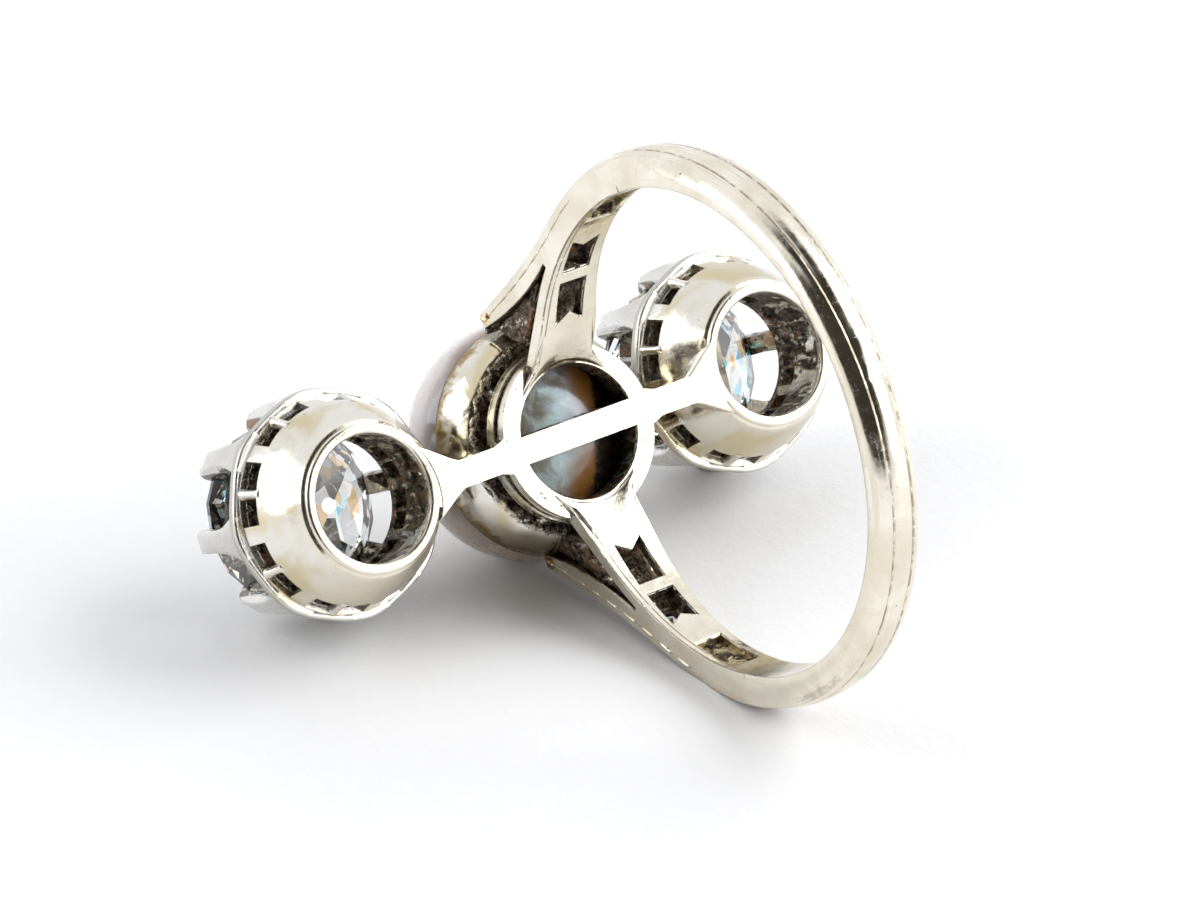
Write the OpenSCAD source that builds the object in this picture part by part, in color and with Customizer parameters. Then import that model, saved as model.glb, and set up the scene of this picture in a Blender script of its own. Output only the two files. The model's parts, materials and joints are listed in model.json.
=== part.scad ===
// Antique three-stone ring: a pearl in a polished cup between two claw-set
// diamonds, on a reeded shank whose shoulders fork and are pierced.
// The ring lies as it rests by itself: on the outside of its lower shoulder
// and on the lowest claw of each diamond's collet. The finger's axis is
// along Y, and the head slopes down towards -X.

/* [Shank] */
// Inside diameter of the hoop, where the finger goes
finger_d = 17; // [15:0.1:20]
// Width of the shank along the finger
shank_w = 1.48; // [1.2:0.02:2.4]
// Thickness of the shank at its edges
shank_t = 1.15; // [0.9:0.05:1.6]
// Rise of the domed outer face above its edges
dome_rise = 0.15; // [0.05:0.01:0.3]
// How much thinner the back of the shank is, worn down
back_wear = 0.35; // [0.1:0.05:0.4]
// Distance of each groove from the middle of the outer face
groove_off = 0.4; // [0.25:0.01:0.45]
// Radius of each groove's round bottom
groove_r = 0.07; // [0.04:0.01:0.1]

/* [Shoulders] */
// Width of the shoulders in the middle of the head
shoulder_w = 3.04; // [2.6:0.02:3.6]
// Thickness of the inner band that runs on to the gallery plate
band_t = 0.45; // [0.35:0.05:0.7]
// Angle from the head at which the fork opens
fork_angle = 43; // [41:1:48]
// Angle from the head at which the outer rail leaves the hoop
rail_angle = 53; // [51:1:55]
// Distance of the rail's end from the ring's middle plane
rail_end_x = 4.65; // [4.4:0.05:5]
// Height of the rail's end above the finger's axis
rail_end_z = 11.3; // [11:0.05:11.6]
// Half the width of the pierced windows
window_hw = 0.57; // [0.4:0.01:0.65]

/* [Head] */
// Distance of the gallery plate from the finger's axis
plate_z = 8.7; // [8.65:0.05:9.2]
// Lean of the head about the finger's axis, bent in wear
head_lean = 4.6; // [0:0.2:6]
// Outside diameter of the gallery plate
plate_d = 6.16; // [5.8:0.02:6.6]
// Diameter of the hole in the gallery plate
plate_hole_d = 4.8; // [4.2:0.1:5]
// Width of the bar across the hole
crossbar_w = 0.95; // [0.6:0.05:1.2]
// Width of the links from the plate to the collets
link_w = 0.96; // [0.7:0.02:1.3]
// Thickness of the crossbar and the links
link_t = 0.75; // [0.5:0.05:0.9]
// Diameter of the cup's rim
cup_d = 8.3; // [8.2:0.02:8.4]
// Height of the cup's rim above the plate's face
cup_h = 2.95; // [2.7:0.05:3.1]

/* [Pearl] */
// Diameter of the pearl across its girth
pearl_d = 8.6; // [8.5:0.05:8.65]
// Height of the pearl's girth above the plate's face
pearl_girth_h = 3.7; // [3.6:0.05:3.75]
// Depth of the pearl's flattened back
pearl_back = 2.9; // [2.6:0.1:3.1]
// Height of the pearl's dome above its girth
pearl_dome = 3.7; // [3.4:0.05:3.8]

/* [Collets] */
// Distance of each collet's axis from the middle of the head
collet_pitch = 8.57; // [8.55:0.01:9]
// Shift of the collets off the crossbar's line
collet_shift = 0.25; // [0:0.05:0.4]
// Diameter of the hole through the foot of the collet
foot_hole_d = 4.42; // [4:0.02:4.6]
// Outside diameter of the collet's foot
foot_d = 5.2; // [5:0.02:5.4]
// Diameter at the top of the polished bowl
bowl_d = 7.02; // [6.8:0.02:7.2]
// Height of the polished bowl
bowl_h = 1.78; // [1.6:0.02:1.9]
// Height of the top of the scalloped rim
rim_h = 2.95; // [2.85:0.05:3.2]
// Number of claws round each diamond
claws = 8; // [8:1:8]
// Width of a claw at its tip
claw_w = 0.64; // [0.5:0.02:0.8]

/* [Diamonds] */
// Diameter of the two main diamonds
diamond_d = 6.5; // [6.3:0.05:6.6]
// Height of their girdles above the plate's face
girdle_h = 6.02; // [5.8:0.02:6.1]
// Diameters of the small diamonds in each shoulder, from the head outwards
small_ds = [1.55, 1.45, 1.3, 1.15, 1.0];

/* [Hidden] */

$fn = 96;
eps = 0.01;
gap = 0.04;
metal = [0.80, 0.77, 0.70];

finger_r = finger_d / 2;
edge_r = finger_r + shank_t;
outer_r = edge_r + dome_rise;
shank_hw = shank_w / 2;
plate_r = plate_d / 2;
pearl_r = pearl_d / 2;
cup_r = cup_d / 2;
foot_hole_r = foot_hole_d / 2;
foot_r = foot_d / 2;
bowl_r = bowl_d / 2;
girdle_r = diamond_d / 2;

// Angle, from the head, at which the reeded shank starts
shank_angle = 78;
// Angle, from the head, past which the inner band runs straight on
straight_angle = 30;
// The shank's outer face is a circle whose middle is off the bore's, towards
// the head, so that the shank gets thinner from the shoulders to the back
off_middle = back_wear / (1 + cos(shank_angle + 3));
shank_r = outer_r + off_middle - back_wear;

// A point at a radius and an angle from the head, in the hoop's plane
function polar(r, a) = [r * sin(a), r * cos(a)];
// A point on a quadratic curve, and a row of such points
function bend(p, q, r, t) = (1 - t) * (1 - t) * p + 2 * t * (1 - t) * q + t * t * r;
function path(p, q, r, n) = [for (i = [0 : n]) bend(p, q, r, i / n)];
// The length of a line through points, and the point and heading a way along it
function line_length(pts, i = 0) = i == len(pts) - 1 ? 0
    : norm(pts[i + 1] - pts[i]) + line_length(pts, i + 1);
function along(pts, way, i = 0) =
    let (step = pts[i + 1] - pts[i], n = norm(step))
    way <= n || i == len(pts) - 2 ? [pts[i] + step * way / n, step / n]
        : along(pts, way - n, i + 1);

// The outer line of a rail, from the hoop to the cup's rim
rail_a = polar(edge_r, rail_angle);
rail_b = rail_a + 2.6 * [-cos(rail_angle), sin(rail_angle)];
rail_c = [rail_end_x, rail_end_z];
rail_line = path(rail_c, rail_b, rail_a, 12);
rail_len = line_length(rail_line);
// The inner line of a rail, from the fork to the cup's rim
fork_a = polar(edge_r - 0.5, fork_angle);
fork_b = [4.95, 8.3];
fork_c = [rail_end_x - 0.5, rail_end_z - 0.15];

// Radius and height of the top of a collet's wall, below the rim
wall_r = 3.84;
wall_h = 2.72;
// The lowest corner of a claw, as [distance from the collet's axis, height]
claw_low = [3.7, 6.15];
// The same corner in the hoop's plane, for the claw that points down
low_x = -((claw_low.x - collet_shift) * cos(head_lean) + claw_low.y * sin(head_lean));
low_z = plate_z + claw_low.y * cos(head_lean) - (claw_low.x - collet_shift) * sin(head_lean);
// Slope of the hoop's plane of symmetry when the ring lies on three points
rest_slope = asin(edge_r / norm([low_x, low_z])) - atan(-low_x / low_z);
head_slope = rest_slope + head_lean;

// Reach of the head towards -X: the pearl's dome or the upper claws
plate_x = -plate_z * cos(rest_slope);
pearl_reach = plate_x - pearl_girth_h * cos(head_slope)
    - norm([pearl_r * sin(head_slope), pearl_dome * cos(head_slope)]);
claw_reach = plate_x - claw_low.y * cos(head_slope)
    - (claw_low.x + collet_shift) * sin(head_slope);
tip_reach = plate_x - 6.6 * cos(head_slope) - (3.25 + collet_shift) * sin(head_slope);
reach = min(pearl_reach, claw_reach, tip_reach);
middle_x = (shank_r - off_middle * cos(rest_slope) + reach) / 2;

// Stands the ring on the ground as it lies
module lie() {
    translate([-middle_x, 0, edge_r])
        rotate([0, -90 - rest_slope, 0])
            children();
}

// Puts what is drawn on the gallery plate's face, away from the finger
module in_head() {
    translate([0, 0, plate_z])
        rotate([0, -head_lean, 0])
            children();
}

// Puts what is drawn on the foot of a collet, in front or at the back
module at_collet(side) {
    translate([collet_shift, side * collet_pitch, 0])
        children();
}

// Turns a flat drawing in x and z into a slab of a half width along Y
module slab(hw) {
    rotate([90, 0, 0])
        linear_extrude(height = 2 * hw, center = true)
            children();
}

// Turns a section about the finger's axis, moved towards the head, from an
// angle on one side of the head round the back to the other side
module turn_back(first, moved) {
    translate([0, 0, moved])
        rotate([90, 0, 0])
            rotate_extrude(angle = 360 - 2 * first, start = 90 + first)
                children();
}

// The hoop below the shoulders, with two grooves that leave three reeds. Its
// corners get rounder towards the back
module shank() {
    dome_r = (shank_hw * shank_hw + dome_rise * dome_rise) / (2 * dome_rise);
    corner_off = 2 * off_middle;
    corner_r = shank_r + off_middle;
    difference() {
        turn_back(shank_angle, off_middle)
            intersection() {
                translate([finger_r - 1, -shank_hw])
                    square([3 * shank_t, shank_w]);
                translate([shank_r - dome_r, 0])
                    circle(dome_r);
            }
        slab(2)
            circle(finger_r);
        for (side = [-1, 1]) {
            turn_back(shank_angle + 5, off_middle)
                translate([shank_r, side * groove_off])
                    circle(groove_r);
            turn_back(shank_angle + 9, corner_off)
                scale([1, side])
                    polygon(concat([[corner_r + 1, shank_hw + 0.3],
                                    [corner_r - 0.48, shank_hw + 0.3]],
                                   path([corner_r - 0.48, shank_hw],
                                        [corner_r - 0.1, shank_hw - 0.02],
                                        [corner_r - 0.02, groove_off], 5),
                                   [[corner_r + 1, groove_off]]));
        }
    }
}

// The stretch of a shoulder that is as thick as the shank, towards +X
module shoulder_hoop() {
    slab(2)
        intersection() {
            difference() {
                circle(edge_r);
                circle(finger_r);
            }
            polygon([[0, 0], 20 * [sin(fork_angle), cos(fork_angle)],
                     [20, 20], 20 * [1, cos(shank_angle + 3)]]);
        }
}

// The thin inner band, round the finger and then on to the plate. The head
// leans, so the plate is further away on one side, and the band bends to it
module inner_band(leaning) {
    tangent = [-cos(straight_angle), sin(straight_angle)];
    band_in = polar(finger_r, straight_angle);
    plate_edge = [2.3 * cos(head_lean), plate_z + 2.3 * sin(head_lean) + 0.015];
    face = leaning ? path(band_in, band_in + 1.1 * tangent, plate_edge, 8)
        : [band_in, band_in + 2.35 * tangent];
    slab(2)
        intersection() {
            difference() {
                circle(finger_r + band_t);
                circle(finger_r);
            }
            polygon([[0, 0], 20 * [sin(straight_angle - 1), cos(straight_angle - 1)],
                     20 * [sin(fork_angle + 3), cos(fork_angle + 3)]]);
        }
    slab(2)
        polygon(concat(face, [[2.2, plate_z + 0.6],
                              polar(finger_r + band_t, straight_angle + 2),
                              polar(finger_r + band_t / 2, straight_angle + 2)]));
}

// The outer rail, from the fork to the cup's rim
module outer_rail() {
    slab(2)
        polygon(concat([for (i = [len(rail_line) - 1 : -1 : 0]) rail_line[i]],
                       [[rail_end_x - 0.75, rail_end_z - 0.1]],
                       [for (i = [10 : -1 : 0]) bend(fork_a, fork_b, fork_c, i / 10)],
                       [polar(edge_r - 0.3, fork_angle + 6)]));
}

// A window in the inner band, with a swallowtail end of its own
module window(middle, length, tail, depth) {
    rotate([0, middle, 0])
        translate([0, 0, finger_r - 0.4])
            linear_extrude(height = depth + 0.4)
                polygon([[-length / 2, -window_hw], [-length / 2, window_hw],
                         [length / 2, window_hw], [length / 2 - tail, 0],
                         [length / 2, -window_hw]]);
}

// One forked and pierced shoulder, towards +X
module shoulder(leaning) {
    difference() {
        intersection() {
            union() {
                shoulder_hoop();
                inner_band(leaning);
                outer_rail();
            }
            linear_extrude(height = 14)
                polygon([[0, -shoulder_w / 2], [8.7, -shank_hw], [12, -shank_hw],
                         [12, shank_hw], [8.7, shank_hw], [0, shoulder_w / 2]]);
        }
        mirror([1, 0, 0])
            window(-33.5, 1.75, 0.4, 0.8);
        window(47.8, 1.6, 0.35, 0.75);
        window(70, 2.6, 0, 0.22);
        for (i = [0 : len(small_ds) - 1])
            at_small(i)
                small_seat(small_ds[i] / 2);
    }
}

// Distance along the rail from its end to the middle of small diamond i. The
// last one sits on the hoop, just past the rail, and the others before it
function small_way(i) =
    i == len(small_ds) - 1 ? rail_len + small_ds[i] / 2 + 0.08
    : i == len(small_ds) - 2 ? rail_len - small_ds[i] / 2 - 0.08
    : small_way(i + 1) - (small_ds[i] + small_ds[i + 1]) / 2 - 0.16;

// Puts what is drawn on the outer face at small diamond i, facing out
module at_small(i) {
    way = small_way(i);
    if (way < rail_len) {
        spot = along(rail_line, way);
        translate([spot[0].x, 0, spot[0].y])
            rotate([0, 90 - atan2(spot[1].x, -spot[1].y), 0])
                children();
    } else {
        a = rail_angle + (way - rail_len) / edge_r * 180 / PI;
        rotate([0, a, 0])
            translate([0, 0, edge_r])
                children();
    }
}

// The seat that a small diamond sits in, open behind the stone
module small_seat(r) {
    rotate_extrude()
        polygon([[0, -1], [0.4 * r, -1], [0.4 * r, -0.3 - 0.6 * r],
                 [r + gap, -0.3], [r + gap, 0.7], [0, 0.7]]);
}

// The flat plate next to the finger, with a grooved edge and a bar across
module gallery_plate() {
    cylinder(h = 0.42, r = plate_r);
    cylinder(h = 0.95, r = plate_r - 0.18);
    translate([0, 0, 0.52])
        cylinder(h = 0.43, r = plate_r + 0.1);
}

module crossbar() {
    translate([-crossbar_w / 2, -plate_r + 0.3, 0])
        cube([crossbar_w, plate_d - 0.6, link_t]);
}

// The two bars to the collets, wider where they meet the foot
module links() {
    foot_y = collet_pitch - foot_r;
    for (side = [0, 1])
        mirror([0, side, 0])
            linear_extrude(height = link_t)
                polygon([[-link_w / 2 - 0.2, plate_r - 0.2], [-link_w / 2, plate_r + 0.4],
                         [-link_w / 2, foot_y - 0.75], [-link_w / 2 - 0.4, foot_y + 0.1],
                         [-link_w / 2 - 0.3, foot_y + 0.28], [link_w / 2 + 0.6, foot_y + 0.28],
                         [link_w / 2 + 0.7, foot_y + 0.1], [link_w / 2, foot_y - 0.75],
                         [link_w / 2, plate_r + 0.4], [link_w / 2 + 0.2, plate_r - 0.2]]);
}

// The pearl's cup: a recessed neck, small beads in it, and a polished bowl
module cup() {
    neck_r = plate_r - 0.1;
    rotate_extrude()
        polygon(concat([[plate_hole_d / 2 + 0.1, 0.6], [neck_r, 0.6], [neck_r, 1.35]],
                       path([3.42, 1.3], [4.05, 1.75], [cup_r, cup_h - 0.08], 8),
                       [[cup_r - 0.04, cup_h], [cup_r - 0.16, cup_h],
                        [3.2, 2], [plate_hole_d / 2 + 0.1, 1.7]]));
    for (a = [24 : 48 : 359])
        rotate([0, 0, a])
            translate([neck_r + 0.1, 0, 1.12])
                sphere(0.24);
}

// The thick wall of a collet, from its rounded foot to the scalloped rim
module collet_wall() {
    lip = 0.12;
    bore_r = foot_hole_r + 0.09;
    rotate_extrude()
        polygon(concat([for (a = [180 : 22.5 : 270])
                            [foot_hole_r + lip + lip * cos(a), lip + lip * sin(a)]],
                       [for (a = [270 : 22.5 : 360])
                            [foot_r - lip + lip * cos(a), lip + lip * sin(a)]],
                       [[foot_r - 0.04, 0.17]],
                       path([foot_r + 0.1, 0.24], [3.27, 1.1], [bowl_r, bowl_h], 8),
                       [[wall_r, wall_h], [3.3, wall_h], [3.3, rim_h - 0.05],
                        [bore_r, rim_h - 0.05], [bore_r, 0.45], [foot_hole_r, 0.36]]));
    translate([0, 0, wall_h - 0.06])
        linear_extrude(height = rim_h - wall_h + 0.06)
            difference() {
                polygon([for (k = [0 : 4 * claws - 1])
                    let (a = k * 90 / claws, r = k % 2 == 0 ? wall_r + 0.14 : wall_r - 0.02)
                        [r * cos(a), r * sin(a)]]);
                circle(3.1);
            }
}

// Two openings on each side of a thin rib, between each two claws
module collet_openings() {
    pitch = 360 / claws;
    beside_claw = 5;
    rib = 3;
    sweep = (pitch - 2 * beside_claw - rib) / 2;
    for (k = [0 : claws - 1], first = [beside_claw, pitch - beside_claw - sweep])
        rotate([0, 0, k * pitch + first])
            rotate_extrude(angle = sweep)
                translate([2, 1.86])
                    square([2.2, 0.72]);
}

// One claw towards +X: its side view crossed with its front view
module claw() {
    base = wall_h - 0.1;
    bend = rim_h + 0.05;
    intersection() {
        rotate([90, 0, 0])
            linear_extrude(height = 2, center = true)
                polygon([[3.54, base], [3.93, base], [3.92, 4.4], [3.84, 5.4],
                         claw_low, [3.52, 6.42], [3.25, 6.6], [3, 6.6], [2.84, 6.5],
                         [2.8, 6.3], [2.9, 5.6], [3.2, 5], [3.42, 3.8]]);
        rotate([90, 0, 90])
            linear_extrude(height = 5)
                polygon([[-0.76, base - 1], [0.76, base - 1], [0.76, bend],
                         [0.42, 3.9], [claw_w / 2, 5], [claw_w / 2 + 0.03, 6],
                         [claw_w / 2 - 0.06, 7], [-claw_w / 2 + 0.06, 7],
                         [-claw_w / 2 - 0.03, 6], [-claw_w / 2, 5], [-0.42, 3.9],
                         [-0.76, bend]]);
    }
}

module collet() {
    difference() {
        collet_wall();
        collet_openings();
    }
    for (k = [0 : claws - 1])
        rotate([0, 0, k * 360 / claws])
            claw();
}

// The pearl's own shape, with room added all round it
module pearl_body(room) {
    top = pearl_dome + room;
    low = pearl_back + room;
    r = pearl_r + room;
    translate([0, 0, pearl_girth_h])
        rotate_extrude()
            polygon(concat([for (a = [-90 : 6 : 0]) [r * cos(a), low * sin(a)]],
                           [for (a = [6 : 6 : 90]) [r * cos(a), top * sin(a)]]));
}

// The room that a main diamond needs, cut from the claws
module diamond_seat() {
    translate([0, 0, girdle_h])
        rotate_extrude()
            polygon([[0, -3.1], [girdle_r + gap, -0.12], [girdle_r + gap, 0.12],
                     [0.55 * girdle_r, 1.15], [0, 1.15]]);
}

module mount() {
    color(metal)
        lie() {
            difference() {
                union() {
                    shank();
                    for (side = [0, 1])
                        mirror([side, 0, 0])
                            shoulder(side == 0);
                    in_head() {
                        gallery_plate();
                        links();
                        cup();
                        for (side = [-1, 1])
                            at_collet(side)
                                collet();
                    }
                }
                in_head() {
                    plate_hole();
                    pearl_body(gap);
                    for (side = [-1, 1])
                        at_collet(side)
                            diamond_seat();
                }
            }
            in_head()
                crossbar();
        }
}

// The hole through the plate and the bottom of the cup
module plate_hole() {
    translate([0, 0, -1])
        cylinder(h = 3, r = plate_hole_d / 2);
}

module pearl() {
    color([0.90, 0.87, 0.82])
        lie()
            in_head()
                pearl_body(0);
}

// A cut stone of a girdle radius, its girdle at z = 0. Above it are a table,
// eight kites, eight stars and sixteen girdle facets, and below it eight long
// mains and sixteen girdle facets, down to a small flat at the bottom
module cut_stone(r) {
    crown = 0.34 * r;
    depth = 0.86 * r;
    girdle = 0.03 * r;
    table = 0.54;
    star = 0.79;
    lower = 0.45;
    tip = 0.09;
    cos_half = cos(22.5);
    // The heights that keep the kites and the long mains flat
    star_z = crown - (star * cos_half - table) / (1 - table) * (crown - girdle);
    lower_z = -depth + (lower - tip) * cos_half / (1 - tip * cos_half) * (depth - girdle);
    ring = function (rad, z, n, turn) [for (k = [0 : n - 1])
        [rad * r * cos(360 / n * k + turn), rad * r * sin(360 / n * k + turn), z]];
    hull()
        polyhedron(points = concat(ring(table, crown, 8, 0), ring(star, star_z, 8, 22.5),
                                   ring(lower, lower_z, 8, 22.5), ring(tip, -depth, 8, 22.5),
                                   ring(1, girdle, 16, 0), ring(1, -girdle, 16, 0)),
                   faces = [for (k = [0 : 3]) [for (i = [0 : 7]) 8 * k + i],
                            for (k = [2, 3]) [for (i = [0 : 15]) 16 * k + i]]);
}

module main_diamond(side) {
    color([0.85, 0.93, 0.96])
        lie()
            in_head()
                at_collet(side)
                    translate([0, 0, girdle_h])
                        cut_stone(girdle_r);
}

module shoulder_diamond(k) {
    per_side = len(small_ds);
    i = (k - 1) % per_side;
    color([0.85, 0.93, 0.96])
        lie()
            mirror([k > per_side ? 1 : 0, 0, 0])
                at_small(i)
                    translate([0, 0, -0.19 * small_ds[i]])
                        cut_stone(small_ds[i] / 2);
}

mount();
pearl();
main_diamond(-1);  // front_diamond
main_diamond(1);  // back_diamond
for (k = [1 : 2 * len(small_ds)])
    shoulder_diamond(k);
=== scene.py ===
# %% [markdown]
# # A pearl and diamond ring
# The ring was modelled in CAD as solids: one metal mount, a pearl and twelve cut stones.
# CAD solids are exact but plain. Here we dress them: we add the small hand-made detail,
# give each surface a finish, and light the ring as for a jeweller's catalogue. The CAD
# pieces never move, so every new piece is placed from the same sizes that made them.

# %% Load the CAD pieces
import json
import math

import bmesh
import bpy
from mathutils import Matrix, Vector, noise

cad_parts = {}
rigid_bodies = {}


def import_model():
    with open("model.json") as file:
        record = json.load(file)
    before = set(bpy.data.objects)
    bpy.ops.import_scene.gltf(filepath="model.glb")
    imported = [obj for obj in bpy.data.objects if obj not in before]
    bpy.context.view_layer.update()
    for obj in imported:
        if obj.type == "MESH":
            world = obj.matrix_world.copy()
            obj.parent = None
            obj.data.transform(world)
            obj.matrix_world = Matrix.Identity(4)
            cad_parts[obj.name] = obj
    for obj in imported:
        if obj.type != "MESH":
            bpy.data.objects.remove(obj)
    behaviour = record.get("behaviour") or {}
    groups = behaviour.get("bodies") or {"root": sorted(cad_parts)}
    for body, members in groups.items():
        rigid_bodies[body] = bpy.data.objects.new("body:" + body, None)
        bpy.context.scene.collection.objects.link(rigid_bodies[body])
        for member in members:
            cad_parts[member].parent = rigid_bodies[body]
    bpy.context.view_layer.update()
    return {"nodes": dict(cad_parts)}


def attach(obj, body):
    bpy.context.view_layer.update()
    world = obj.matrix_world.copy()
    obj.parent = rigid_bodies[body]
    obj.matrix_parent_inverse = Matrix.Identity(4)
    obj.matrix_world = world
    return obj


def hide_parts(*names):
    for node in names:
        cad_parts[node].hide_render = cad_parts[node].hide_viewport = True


for left_over in list(bpy.data.objects):
    bpy.data.objects.remove(left_over)
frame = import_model()
nodes = frame["nodes"]

# %% [markdown]
# ## Where things are
# A ring is easiest to think about from two places. In the hoop's place the finger runs
# along Y and Z points at the head. In the head's place the origin is the middle of the
# gallery plate and Z points away from the finger. The ring lies tilted on the floor, so
# each place is a turn and a shift, kept as a matrix. All sizes below are in millimetres,
# and one last matrix turns them into Blender's metres.

# %% The hoop's place, the head's place and the two collets
MM = 0.001
to_metres = Matrix.Scale(MM, 4)
rest_slope = 24.6813
hoop_forward = 2.94806
edge_radius = 9.65
head_lean = 4.6
plate_height = 8.7
collet_out, collet_shift = 8.57, 0.25
width_at_head, width_at_back, taper = 1.52, 0.74, 0.0897


def turn_y(degrees):
    return Matrix.Rotation(math.radians(degrees), 4, "Y")


def shift(x, y, z):
    return Matrix.Translation((x, y, z))


def half_width_at(x):
    """Half the ring's width, which gets less from the head to the back of the shank."""
    return max(width_at_head - taper * x, width_at_back)


in_hoop = shift(hoop_forward, 0, edge_radius) @ turn_y(-90 - rest_slope)
in_head = in_hoop @ shift(0, 0, plate_height) @ turn_y(-head_lean)
collets = {side: in_head @ shift(collet_shift, side * collet_out, 0) for side in (-1, 1)}
print("middle of the plate:", [round(v, 2) for v in in_head.translation])

# %% [markdown]
# ## The camera
# A long lens from about 17 cm shows a small jewel without swelling its near side. The
# camera looks down at 29 degrees, at the back of the head, as in the reference picture.

# %% Make the camera


def add_object(name, data):
    thing = bpy.data.objects.new(name, data)
    bpy.context.scene.collection.objects.link(thing)
    return thing


camera_data = bpy.data.cameras.new("camera")
camera_data.lens = 149.43
camera_data.sensor_width = 36
camera_data.clip_start = 0.01
camera_data.clip_end = 10
camera = add_object("camera", camera_data)
camera.location = Vector((116.159, -90.247, 90.160)) * MM
camera.rotation_euler = [math.radians(v) for v in (60.661, 0.049, 53.019)]
bpy.context.scene.camera = camera
print("camera height in mm:", round(camera.location.z / MM, 1))

# %% [markdown]
# ## Small helpers for shader nodes
# A material is a graph of nodes. Writing it by hand means many lines that only make a
# node and join two sockets. These helpers take numbers or sockets alike, so that a
# formula reads as one line. They work in the tree that was opened last: a material's, a
# node group's or the world's.

# %% Helpers that add one or two nodes each


def work_in(new_tree):
    """From here on, the helpers add their nodes to this tree."""
    global tree
    tree = new_tree
    tree.nodes.clear()


def new_node(kind):
    return tree.nodes.new("ShaderNode" + kind)


def put(socket, value):
    if isinstance(value, bpy.types.NodeSocket):
        tree.links.new(value, socket)
    elif value is not None:
        socket.default_value = value


def put_all(sockets, **values):
    for name, value in values.items():
        put(sockets[name.replace("_", " ")], value)


def calc(operation, a, b=None, c=None, clamp=False):
    node = new_node("Math")
    node.operation = operation
    node.use_clamp = clamp
    for socket, value in zip(node.inputs, (a, b, c)):
        put(socket, value)
    return node.outputs[0]


def product(first, *others):
    for other in others:
        first = calc("MULTIPLY", first, other)
    return first


def largest(first, *others):
    for other in others:
        first = calc("MAXIMUM", first, other)
    return first


def vector_calc(operation, a, b=None):
    node = new_node("VectorMath")
    node.operation = operation
    put(node.inputs[0], a)
    put(node.inputs[1], b)
    return node.outputs["Value" if operation == "DOT_PRODUCT" else "Vector"]


def flat_distance(x, y):
    return calc("SQRT", calc("ADD", product(x, x), product(y, y)))


def ramp(value, low, high, to_low=0.0, to_high=1.0, smooth=True):
    node = new_node("MapRange")
    node.interpolation_type = "SMOOTHSTEP" if smooth else "LINEAR"
    put_all(node.inputs, Value=value, From_Min=low, From_Max=high, To_Min=to_low, To_Max=to_high)
    return node.outputs["Result"]


def band(value, start, full, fade, end):
    """1 from full to fade, and 0 below start and above end."""
    return product(ramp(value, start, full), ramp(value, end, fade))


def near(value, middle, end, full):
    """1 closer than full to the middle, and 0 farther than end from it."""
    return ramp(calc("ABSOLUTE", calc("SUBTRACT", value, middle)), end, full)


def blend(share, a, b, how="MIX"):
    node = new_node("Mix")
    node.data_type = "RGBA"
    node.blend_type = how
    colours = [socket for socket in node.inputs if socket.type == "RGBA"]
    for socket, value in zip([node.inputs["Factor"]] + colours, (share, a, b)):
        put(socket, value)
    return next(socket for socket in node.outputs if socket.type == "RGBA")


def cloud(place, scale, detail=3.0, rough=0.55, warp=0.0):
    node = new_node("TexNoise")
    put_all(node.inputs, Vector=place, Scale=scale, Detail=detail, Roughness=rough,
            Distortion=warp)
    return node.outputs["Fac"]


def cells(place, scale):
    """How far a point is from its cell's spot, and three numbers that each cell has."""
    node = new_node("TexVoronoi")
    put_all(node.inputs, Vector=place, Scale=scale)
    parts = new_node("SeparateColor")
    put(parts.inputs[0], node.outputs["Color"])
    return node.outputs["Distance"], parts.outputs


def stretch(place, size, turn=(0, 0, 0), move=(0, 0, 0)):
    node = new_node("Mapping")
    put_all(node.inputs, Vector=place, Location=move, Scale=size,
            Rotation=[math.radians(v) for v in turn])
    return node.outputs["Vector"]


def combine(*values):
    node = new_node("CombineXYZ")
    for socket, value in zip(node.inputs, values):
        put(socket, value)
    return node.outputs[0]


def bump(height, strength, distance, normal=None):
    node = new_node("Bump")
    put_all(node.inputs, Strength=strength, Distance=distance, Height=height, Normal=normal)
    return node.outputs[0]


print("node helpers are ready")

# %% [markdown]
# ## Effects as node groups
# The finishes share some effects: all of them ask where on the ring a point is, and all
# the metals have scratches and grime with painted shade. A node group is the node editor's function:
# it has
# named sockets outside and any number of nodes inside. Each effect is built once here and
# used in every material that needs it.

# %% Helpers that start a group, use a group and find a point in one of the places


def new_group(name, inputs, outputs):
    group = bpy.data.node_groups.new(name, "ShaderNodeTree")
    for socket_name, kind, value in inputs:
        socket = group.interface.new_socket(socket_name, in_out="INPUT",
                                            socket_type="NodeSocket" + kind)
        if value is not None:
            socket.default_value = value
    for socket_name, kind in outputs:
        group.interface.new_socket(socket_name, in_out="OUTPUT",
                                   socket_type="NodeSocket" + kind)
    print("group:", name, [socket.name for socket in group.interface.items_tree])
    work_in(group)
    enter, leave = tree.nodes.new("NodeGroupInput"), tree.nodes.new("NodeGroupOutput")
    return group, enter.outputs, leave.inputs


def use_group(group, **values):
    node = new_node("Group")
    node.node_tree = group
    put_all(node.inputs, **values)
    return node.outputs


def find_in(place, point):
    """A point's way from a place's origin in millimetres, and its x, y and z there."""
    millimetres = vector_calc("MULTIPLY", point, (1 / MM, 1 / MM, 1 / MM))
    away = vector_calc("SUBTRACT", millimetres, place.translation[:])
    return away, [vector_calc("DOT_PRODUCT", away, place.col[i][:3]) for i in range(3)]


print("group helpers are ready")
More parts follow.
